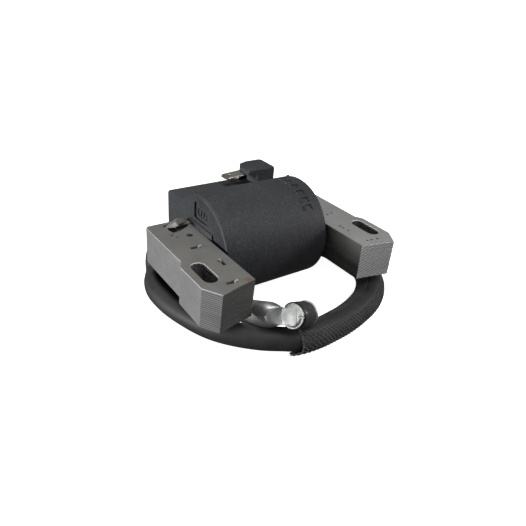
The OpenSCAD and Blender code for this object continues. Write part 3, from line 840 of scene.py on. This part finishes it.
def housing():
    """One moulding: round body, box, collar and ledges round the crossbar, hood and all the openings."""
    block, mouth = hood_parts()
    box = round_box((-FACE_X, AXIS_Y - 4, -BOX_TOP), (FACE_X, BACK_Y + 0.2, BOX_TOP + 0.3), 1.3, 4)
    collar = round_box((-26.45, 33.6, -9.2), (26.45, 51.6, 9.2), 0.45, 2)
    ledge = [round_box((x - 0.55, 32.6, -9.9), (x + 0.55, 52.6, 9.9), 0.3, 2) for x in (-RIM_X, RIM_X)]
    hollow = rod(-TUB_HALF, TUB_HALF, AXIS_Y, 0, BODY_R - WALL, 96)
    tub = round_box((-TUB_HALF, AXIS_Y, -BOX_TOP + WALL), (TUB_HALF, BACK_Y + 5, BOX_TOP - WALL), 0.5, 2)
    window = round_box((-40, 34.85, -8.15), (40, 50.35, 8.15), 0.1, 1)
    outlet = rod(-FACE_X - 3, -FACE_X + 3.2, LEAD_Y, LEAD_Z, LEAD_HOLE_R)
    slit = round_box((-FACE_X - 4, 49.2, 7.7), (-FACE_X + 3, 52.2, 8.7), 0.05, 1)
    seat = round_box((14.8, 64.5, 18.6), (23.2, 71.1, 19.75), 0.05, 1)
    bore = lathe([(10, 0.8), (19, 0.8)], Matrix.Translation((18.6, BLADE_Y, 0)), 24)
    me = booleans(round_body(), add=[box, collar, *ledge, block],
                  cut=[hollow, tub, window, pocket(-1), pocket(1), outlet, slit, mouth, seat, bore])
    finish_mesh(me, "housing_moulding")
    obj("housing_moulding", me, "coil", PLASTIC, ["housing"])
    marks = finish_mesh(mesh_of("panel_marks", *join(oval_ring(-1), oval_ring(1))), "panel_marks")
    obj("panel_marks", marks, "coil", PLASTIC)


def skin_mark(x, angle, half_x, half_arc, height):
    """A small raised plain bar that follows the round body. angle is in degrees up from the front."""
    cols, rows = 6, 6
    verts = []
    for lift in (1, 0):
        for j in range(rows + 1):
            for i in range(cols + 1):
                u, v = 2 * i / cols - 1, 2 * j / rows - 1
                edge = min(1.0, 3.5 * (1 - max(abs(u), abs(v))))
                r = BODY_R + (height * math.sqrt(max(0, edge)) if lift else -0.15)
                a = math.radians(angle) + v * half_arc / BODY_R
                verts.append(Vector((x + u * half_x, AXIS_Y - r * math.cos(a), r * math.sin(a))))
    return verts, plate_faces(cols, rows)


def raised_marks():
    """Plain moulded bars near the right end, where such a coil carries its markings."""
    bars = []
    for angle in (97, 87, 76.5, 66, 55.5, 46):
        bars.append(skin_mark(16.0, angle, 0.4, 1.3, BAR_RISE))
        bars.append(skin_mark(20.2, angle, 0.4, 1.3, BAR_RISE))
        bars.append(skin_mark(18.1, angle + 3.0, 2.3, 0.35, BAR_RISE))
    # a nib on the crest and a small bead near the left rim
    bars.append(skin_mark(24.6, 110, 0.7, 0.6, 0.45))
    bars.append(skin_mark(-24.6, 52, 0.55, 0.6, 0.35))
    me = finish_mesh(mesh_of("raised_bars", *join(*bars)), "raised_bars")
    obj("raised_bars", me, "coil", PLASTIC)


def potting():
    """Poured compound: a slightly hollow, wavy surface that climbs the walls of the tub."""
    cols, rows = 60, 36
    half_x, half_z = TUB_HALF - 0.05, BOX_TOP - WALL - 0.05
    y_in, y_out = 69.1, 72.6
    front, back = [], []
    for j in range(rows + 1):
        for i in range(cols + 1):
            u, v = 2 * i / cols - 1, 2 * j / rows - 1
            x, z = u * half_x, v * half_z
            edge = min((1 - abs(u)) * half_x, (1 - abs(v)) * half_z)
            creep = 0.7 * math.exp(-edge / 0.8)
            wave = 0.18 * noise.noise(Vector((x * 0.12, z * 0.16, 2.0)))
            # the compound climbs round the lead too
            round_lead = 0.5 * math.exp(-abs(math.hypot(x + 23, z - LEAD_Z) - 4.6) / 0.8)
            front.append(Vector((x, y_out - 0.5 + creep + wave + round_lead, z)))
            back.append(Vector((x, y_in, z)))
    block = (front + back, plate_faces(cols, rows))
    me = finish_mesh(booleans(block, cut=[rod(-25, -18.6, LEAD_Y, LEAD_Z, LEAD_HOLE_R)]), "poured_compound")
    obj("poured_compound", me, "coil", POTTING, ["potting"])


def kill_blade():
    """Spade terminal with eased edges, a pointed nose and a small hole."""
    length, width, thick = 22.8, 6.35, 0.8
    half = width / 2
    nose = rounded([(0, -half + 1.3), (1.4, -half), (length, -half), (length, half), (1.4, half),
                    (0, half - 1.3)], [0.3, 0.3, 0, 0, 0.3, 0.3])
    hole = round_hole(3.6, 0, 0.85, 24)
    levels = ((-thick / 2, 0.16), (-thick / 2 + 0.16, 0), (thick / 2 - 0.16, 0), (thick / 2, 0.16))
    place = (Matrix.Translation((23, BLADE_Y, 19.6)) @ Matrix.Rotation(math.radians(-4), 4, "Y")
             @ Matrix.Translation((-length, 0, 0)))
    verts, faces = [], []
    for z, e in levels:
        for loop, sign in ((nose, 1), (hole, -1)):
            for x, y in inset(loop, sign * e):
                # the sheet is not quite flat after stamping
                verts.append(place @ Vector((x, y, z + 0.05 * math.sin(x * 0.5) * (1 - x / length))))
    n, h = len(nose), len(hole)
    for r in range(3):
        a, b = r * (n + h), (r + 1) * (n + h)
        faces += belt(a, b, n) + belt(a + n, b + n, h)
    flat = [[Vector((x, y, 0)) for x, y in nose], [Vector((x, y, 0)) for x, y in hole]]
    for tri in tessellate_polygon(flat):
        faces.append(tuple(tri))
        faces.append(tuple(3 * (n + h) + i for i in tri))
    me = finish_mesh(mesh_of("kill_blade", verts, faces), "kill_blade", 30)
    obj("kill_spade", me, "coil", PLATED, ["kill_blade"])


def lead_boot():
    """Moulded grommet where the lead leaves the wall."""
    place = Matrix.Translation((-FACE_X + 0.05, LEAD_Y, LEAD_Z)) @ Matrix.Rotation(-math.pi / 2, 4, "Y")
    prof = [(0, 4.32), (0, 5.9), (0.25, 6.0), (1.6, 6.0), (1.9, 5.85), (2.0, 5.45), (2.3, 5.3),
            (3.2, 5.2), (3.55, 5.05), (3.66, 4.75), (3.6, 4.4), (3.4, 4.32)]
    me = finish_mesh(mesh_of("lead_boot", *lathe(prof, place, 56, closed=True)), "lead_boot", 40)
    obj("lead_grommet", me, "coil", RUBBER, ["lead_boot"])


housing()
raised_marks()
potting()
kill_blade()
lead_boot()

# ---- lead
LEAD_R = 4.25
LEAD_SWELL = 0.5
ROUTE = [Vector(p) for p in (
    (-18.8, 66.2, -7.4), (-28.8, 66.2, -7.4), (-31.6, 66.1, -7.5),
    (-34.6, 64.8, -8.7), (-37.4, 62, -11.6), (-40, 58.1, -14.8),
    (-42.5, 52.6, -16.8), (-44.3, 46.2, -18.1), (-44.5, 38.8, -18.3),
    (-43.6, 30.7, -18.3), (-41.5, 22.5, -18.3), (-38.8, 14.9, -18.3),
    (-34.9, 8.1, -18.3), (-29.7, 2.1, -18.3), (-23.9, -3.2, -18.3),
    (-18.1, -7, -18.3), (-12.6, -10.3, -18.2), (-6.3, -11.8, -17.7),
    (1.5, -11.8, -17.5), (9.5, -11.1, -17.5), (17.5, -9.4, -17.5),
    (25.6, -6.9, -17.5), (32.7, -3.6, -17.5), (39.1, 1, -17.5),
    (44.5, 6.8, -17.5), (48.3, 14.1, -17.5), (49.7, 23.8, -17.5),
    (49, 34.6, -17.5), (45.4, 45.4, -17.7), (37.6, 57, -18.2),
    (25, 67, -18.3), (9, 71, -18.3), (-8, 70.8, -18.3),
    (-22, 67, -18.3), (-30.4, 57.6, -17.8), (-34, 45.6, -16.4),
    (-34.2, 33, -15.7), (-27.6, 22.8, -17.3))]
ROUTE += [MOUTH - 7 * EDIR, MOUTH - 1.8 * EDIR]
SLEEVE_FROM, SLEEVE_TO = 16, 28


def smooth_path(points, i0, i1, steps):
    """A Catmull-Rom curve through points i0 to i1."""
    ext = [2 * points[0] - points[1]] + points + [2 * points[-1] - points[-2]]
    out = []
    for i in range(i0, i1):
        a, b, c, d = ext[i:i + 4]
        for k in range(steps):
            u = k / steps
            out.append(0.5 * (2 * b + (c - a) * u + (2 * a - 5 * b + 4 * c - d) * u * u
                              + (3 * b - a - 3 * c + d) * u ** 3))
    out.append(points[i1].copy())
    return out


def frames(path):
    """Each point of the path with its direction, its sideways and its upward direction."""
    out = []
    for i, p in enumerate(path):
        a, b = path[max(i - 1, 0)], path[min(i + 1, len(path) - 1)]
        t = (b - a).normalized()
        s = t.cross(Vector((0, 0, 1))).normalized()
        out.append((p, t, s, s.cross(t)))
    return out


def tube(path, sides, radius):
    """A closed tube swept along the path. radius(i, angle) is in mm."""
    verts, faces = [], []
    fr = frames(path)
    for i, (p, t, s, u) in enumerate(fr):
        for k in range(sides):
            a = 2 * math.pi * k / sides
            r = radius(i, a)
            verts.append(p + s * r * math.cos(a) + u * r * math.sin(a))
    for i in range(len(fr) - 1):
        faces += belt(i * sides, (i + 1) * sides, sides)
    faces += [cap(0, sides), cap((len(fr) - 1) * sides, sides)]
    return verts, faces


def lead_tube():
    """Extruded rubber is never quite even: slow dents, and a fuller round where it lies free."""
    path = smooth_path(ROUTE[:-1] + [MOUTH - 1.0 * EDIR], 0, len(ROUTE) - 1, 8)
    n = len(path) - 1
    free = [clamp((i - 20) / 24) * clamp((n - 12 - i) / 12) for i in range(n + 1)]
    raised = [p + Vector((0, 0, LEAD_SWELL * f)) for p, f in zip(path, free)]
    # it tucks in under the left leg's heel, and its second pass rides up beside the first
    for i, p in enumerate(raised):
        if i < n // 2:
            p += Vector((1.3, 0, -0.9)) * math.exp(-((p.y - 56.5) / 4) ** 2) * (p.x < -30)
        else:
            p += Vector((-1.3, 0, 1.3)) * math.exp(-((p.y - 40) / 10) ** 2) * (p.x < -30)

    def radius(i, a):
        d = 0.05 * noise.noise(Vector((i * 0.11, math.cos(a) * 1.3, math.sin(a) * 1.3))) - 0.03
        second = math.exp(-((raised[i].y - 40) / 9) ** 2) * (i > n // 2) * (raised[i].x < -30)
        return LEAD_R + LEAD_SWELL * free[i] + d + 0.3 * second

    return tube(raised, 40, radius)


LEAD_PATH = smooth_path(ROUTE, 0, len(ROUTE) - 1, 8)
lead_mesh = finish_mesh(mesh_of("lead_insulation", *lead_tube()), "lead_insulation", 60)
lead = obj("lead_insulation", lead_mesh, "coil", LEAD, ["hv_lead"])


def woven_sleeve():
    """Fabric tube: warp yarns along it, one weft yarn wound round it, woven as a twill."""
    path = smooth_path(ROUTE, SLEEVE_FROM - 1, SLEEVE_TO, 14)
    fr = frames(path)
    along = [0.0]
    for a, b in zip(path, path[1:]):
        along.append(along[-1] + (b - a).length)
    total = along[-1]
    cut = along[14]
    half_w, half_t = 6.55, 5.15
    inward = 0.35
    mean_r = 5.6
    warps = 46
    weft_pitch = 0.80
    width, thick = 0.56, 0.42
    weave = 0.20
    twist = 0.0045

    def at(s):
        """The sleeve's middle s mm along it, with its sideways and upward directions."""
        s = min(max(s, 0.0), total - 1e-6)
        k = bisect.bisect_right(along, s) - 1
        f = (s - along[k]) / (along[k + 1] - along[k])
        side = fr[k][2].lerp(fr[k + 1][2], f).normalized()
        up = fr[k][3].lerp(fr[k + 1][3], f).normalized()
        p = path[k].lerp(path[k + 1], f)
        return p - side * inward * clamp((s - cut) / 20), side, up

    def edge(a):
        """Where the cut edge runs: it stands further out underneath, toward the loop's outside."""
        return cut + 0.4 - 3.4 * max(0.0, math.cos(a + 1.25)) ** 2

    def shell(s, a, lift):
        """A point of the tube s mm along it, at angle a round it, lift mm out from its surface."""
        p, side, up = at(s)
        open_lip = math.exp(-max(0.0, s - edge(a)) / 1.8)
        slack = 0.10 * noise.noise(Vector((s * 0.09, math.cos(a) * 1.5, math.sin(a) * 1.5 + 4)))
        g = 0.6 * open_lip + lift + slack - 0.3 * math.exp(-(total - s) / 2.5)
        low = 0.30 if math.sin(a) < 0 else 0.0
        return p + side * (half_w + g) * math.cos(a) + up * (half_t + g - low) * math.sin(a)

    verts, faces = [], []

    def strand(points, section):
        """One yarn of (place along, angle, lift, whether its width runs round the tube) points."""
        base = len(verts)
        n = len(section)
        for s, a, lift, spread in points:
            for w, t in section:
                verts.append(shell(s + (0 if spread else w), a + (w / mean_r if spread else 0), lift + t))
        for k in range(len(points) - 1):
            faces.extend(belt(base + n * k, base + n * k + n, n))
        faces.extend([cap(base, n), cap(base + n * (len(points) - 1), n)])

    warp = [(-width / 2, -thick / 2), (-width * 0.3, thick * 0.30), (0, thick / 2),
            (width * 0.3, thick * 0.32), (width / 2, -thick / 2)]
    steps = 250
    for y in range(warps):
        a0 = 2 * math.pi * y / warps
        first = edge(a0) - rnd.uniform(-0.1, 0.15)
        last = total - rnd.uniform(0, 0.4)
        fray = rnd.uniform(0, 0.12)
        points = []
        for k in range(steps + 1):
            s = first + (last - first) * k / steps
            a = a0 + twist * (s - cut)
            wave = math.sin(2 * math.pi * (s / (2 * weft_pitch) + y * 0.25))
            lift = -thick / 2 - weave + weave * max(-1.0, min(1.0, 1.5 * wave)) + (fray if k == 0 else 0)
            points.append((s, a, lift, True))
        strand(points, warp)
    turns = int((total - cut - 0.8) / weft_pitch)
    around = 40
    warp_faces = len(faces)
    points = []
    for k in range(turns * around + 1):
        a = 2 * math.pi * k / around
        points.append((cut + 0.9 + weft_pitch * k / around, a, -thick * 0.5 - weave + 0.06, False))
    weft = [(-0.30, -0.14), (-0.18, 0.16), (0.18, 0.16), (0.30, -0.14)]
    strand(points, weft)
    me = mesh_of("woven_sleeve", verts, faces, finishes=[0] * warp_faces + [1] * (len(faces) - warp_faces))
    yarn = obj("sleeve_yarns", me, "coil", [SLEEVE, WEFT], ["woven_sleeve"])

    # painted shade: a black sheet under the yarns, so that the gaps between them show dark
    sides, layers = 40, 60
    inner, quads = [], []
    for lift in (-0.50, -0.70):
        for k in range(layers + 1):
            for q in range(sides):
                a = 2 * math.pi * q / sides
                s = edge(a) + 0.5 + (total - 0.3 - edge(a) - 0.5) * k / layers
                inner.append(shell(s, a, lift))
    off = (layers + 1) * sides
    for k in range(layers):
        a, b = k * sides, (k + 1) * sides
        quads += belt(a, b, sides) + belt(off + a, off + b, sides)
    for k in (0, layers):
        quads += belt(k * sides, off + k * sides, sides)
    shade_sheet = finish_mesh(mesh_of("sleeve_shade_sheet", inner, quads), "sleeve_shade_sheet", 60)
    return yarn, obj("sleeve_shade_sheet", shade_sheet, "coil", SLEEVE_SHADE_SHEET)


yarn, shade_sheet = woven_sleeve()


# ---- plug elbow
def elbow_shell():
    """Pressed elbow: rolled mouth, straight barrel, neck squeezed flat into the blind end of the cup."""
    barrel = [(13.2, 0.3), (13.2, 4.32), (2.6, 4.32), (2.2, 4.42), (2.0, 4.62), (2.1, 4.86), (2.5, 4.96),
              (3.1, 4.88), (13.0, 4.88), (14.2, 4.80), (15.4, 4.58), (17.0, 4.1), (18.6, 3.58),
              (20.2, 3.2), (21.6, 3.05), (25.6, 3.0), (25.6, 0.3)]
    cup = [(BOSS_H, 0.2), (BOSS_H, 3.1), (BOSS_H + 0.12, 3.45), (BOSS_H + 0.5, 3.7), (2.75, 3.85),
           (2.95, 4.1), (3.0, 4.6), (3.15, 4.84), (3.4, 4.86), (3.55, 4.6), (3.7, 4.5), (12.05, 4.5),
           (12.15, 5.0), (12.35, 5.4), (12.7, 5.5), (13.0, 5.4), (13.15, 5.0), (13.05, 4.4), (12.6, 4.0),
           (12.3, 3.92), (4.6, 3.9), (4.45, 3.7), (4.45, 0.2)]

    def setup(o):
        r = o.modifiers.new("skin", "REMESH")
        r.mode = "VOXEL"
        r.voxel_size = 0.20 * MM
        s = o.modifiers.new("ease", "SMOOTH")
        s.factor = 0.5
        s.iterations = 3

    me = modified(join(lathe(barrel, ELBOW_M, 72), lathe(cup, SOCKET_M, 72)), setup)
    slit = (right_of_view - SOCKET_A * right_of_view.dot(SOCKET_A)).normalized()
    slit_side = SOCKET_A.cross(slit)
    for v in me.vertices:
        p = v.co / MM - SOCKET_O
        h = p.dot(SOCKET_A)
        flat = p - SOCKET_A * h
        back = -p.dot(EDIR)
        # the press squeezes the neck down to the level of the blind end and leaves it slightly crowned
        floor_h = BOSS_H - max(0.0, back - 3.0) * 0.95
        short = floor_h - h
        fade = clamp((10 - back) / 6)
        push = 0.5 * (short + math.sqrt(short * short + 0.35)) * fade * fade * (3 - 2 * fade)
        if back < 10:
            p += SOCKET_A * push * 0.93
        if h < BOSS_H + 1 and flat.length < 3.3:
            p += SOCKET_A * 0.06 * noise.noise(p * 1.3)
        if h > 11.9 and flat.length > 4.4:
            p -= flat * 0.12 * max(0.0, flat.normalized().dot(RESTING)) ** 2
        # seam left where the blank was folded
        if 3.2 < flat.length < 5.1 and flat.dot(slit) > 0 and abs(flat.dot(slit_side)) < 0.16 and h < 3.6:
            p += SOCKET_A * 0.35
        v.co = (SOCKET_O + p) * MM
    finish_mesh(me, "elbow_shell", 60)
    return obj("elbow_pressing", me, "plug_elbow", ELBOW, ["elbow_shell"])


def socket_band():
    """Moulded band with rounded rims, notched where the neck passes, eased where it rests on the sleeve."""
    prof = [(3.62, 4.58), (3.62, 5.02), (3.72, 5.2), (3.95, 5.3), (11.6, 5.22), (11.85, 5.14),
            (11.95, 4.98), (11.95, 4.58)]
    verts, faces = lathe(prof, SOCKET_M, 96, closed=True)
    for v in verts:
        p = v - SOCKET_O
        h = p.dot(SOCKET_A)
        flat = p - SOCKET_A * h
        if flat.length > 4.7:
            v -= flat.normalized() * 0.40 * max(0.0, flat.normalized().dot(RESTING)) ** 2 * min(1.0, h / 10)
    neck = [(2.0, 5.6), (14.0, 5.5), (20.6, 3.9), (28, 3.7)]
    me = booleans((verts, faces), cut=[lathe(neck, ELBOW_M, 48)])
    for face in me.polygons:
        # the band's front end takes the near-black rubber, painted shade
        face.material_index = 1 if (face.center / MM - SOCKET_O).dot(SOCKET_A) < 3.9 else 0
    finish_mesh(me, "band_moulding", 40)
    return obj("band_moulding", me, "plug_elbow", [RUBBER, BAND_RIM_SHADE], ["socket_band"])


elbow = elbow_shell()
band = socket_band()

# ---- camera and light
scene = bpy.context.scene
cam_data = bpy.data.cameras.new("camera")
cam = linked("camera", cam_data)
scene.camera = cam
cam_data.sensor_width = 36
cam_data.lens = 34.8
down = Vector((-0.23689, -0.45140, -0.86031))
ahead = Vector((0.52918, 0.68268, -0.50390))
eye = Vector((-119.54, -122.80, 104.64)) * MM
turned = Matrix((right_of_view, -down, -ahead)).transposed()
cam.matrix_world = Matrix.Translation(eye) @ turned.to_4x4()
cam_data.clip_start = 0.01
cam_data.clip_end = 20


def area(name, loc, target, size, power):
    """A rectangular lamp at loc that faces the target, both in metres."""
    d = bpy.data.lights.new(name, "AREA")
    d.shape = "RECTANGLE"
    d.size, d.size_y = size
    d.energy = power
    o = linked(name, d)
    o.location = loc
    o.rotation_mode = "QUATERNION"
    o.rotation_quaternion = (Vector(target) - Vector(loc)).to_track_quat("-Z", "Y")
    return o


area("left", (-1.10, 0.25, 0.10), (0, 0.03, 0), (0.35, 0.25), 16.0)
area("right_front", (0.75, -0.45, 0.35), (0, 0.03, 0), (0.4, 0.3), 2.9)
area("overhead_back", (-0.10, 0.55, 0.95), (0, 0.03, 0), (0.5, 0.5), 4.5)
area("overhead_front", (0.05, -0.45, 1.00), (0, 0.03, 0), (0.5, 0.5), 7.0)
world = bpy.data.worlds.new("world")
scene.world = world
world.use_nodes = True
wnt = world.node_tree
ambient = wnt.nodes["Background"]
ambient.inputs[0].default_value = (1, 1, 1, 1)
ambient.inputs[1].default_value = 0.10
backdrop = wnt.nodes.new("ShaderNodeBackground")
backdrop.inputs[1].default_value = 1.6
ray_kind = wnt.nodes.new("ShaderNodeLightPath")
pick = wnt.nodes.new("ShaderNodeMixShader")
wnt.links.new(ray_kind.outputs["Is Camera Ray"], pick.inputs[0])
wnt.links.new(ambient.outputs[0], pick.inputs[1])
wnt.links.new(backdrop.outputs[0], pick.inputs[2])
wnt.links.new(pick.outputs[0], wnt.nodes["World Output"].inputs[0])
scene.view_settings.view_transform = "Standard"

FLOOR_Z = -0.02262
floor_mesh = bpy.data.meshes.new("floor")
corners = [(-6, -6, FLOOR_Z), (6, -6, FLOOR_Z), (6, 6, FLOOR_Z), (-6, 6, FLOOR_Z)]
floor_mesh.from_pydata(corners, [], [(0, 1, 2, 3)])
floor = linked("floor", floor_mesh)
fm, fnt, fb = new_mat("floor")
fcol = ramp(fnt, noise_tex(fnt, coords(fnt), 8, 3), [(0.3, 0.78), (0.7, 0.80)])
fnt.links.new(fcol, fb.inputs["Base Color"])
fb.inputs["Roughness"].default_value = 0.9
fb.inputs["Emission Color"].default_value = (1, 1, 1, 1)
fb.inputs["Emission Strength"].default_value = 0.97
floor.data.materials.append(fm)
floor.visible_diffuse = False
floor.visible_glossy = False
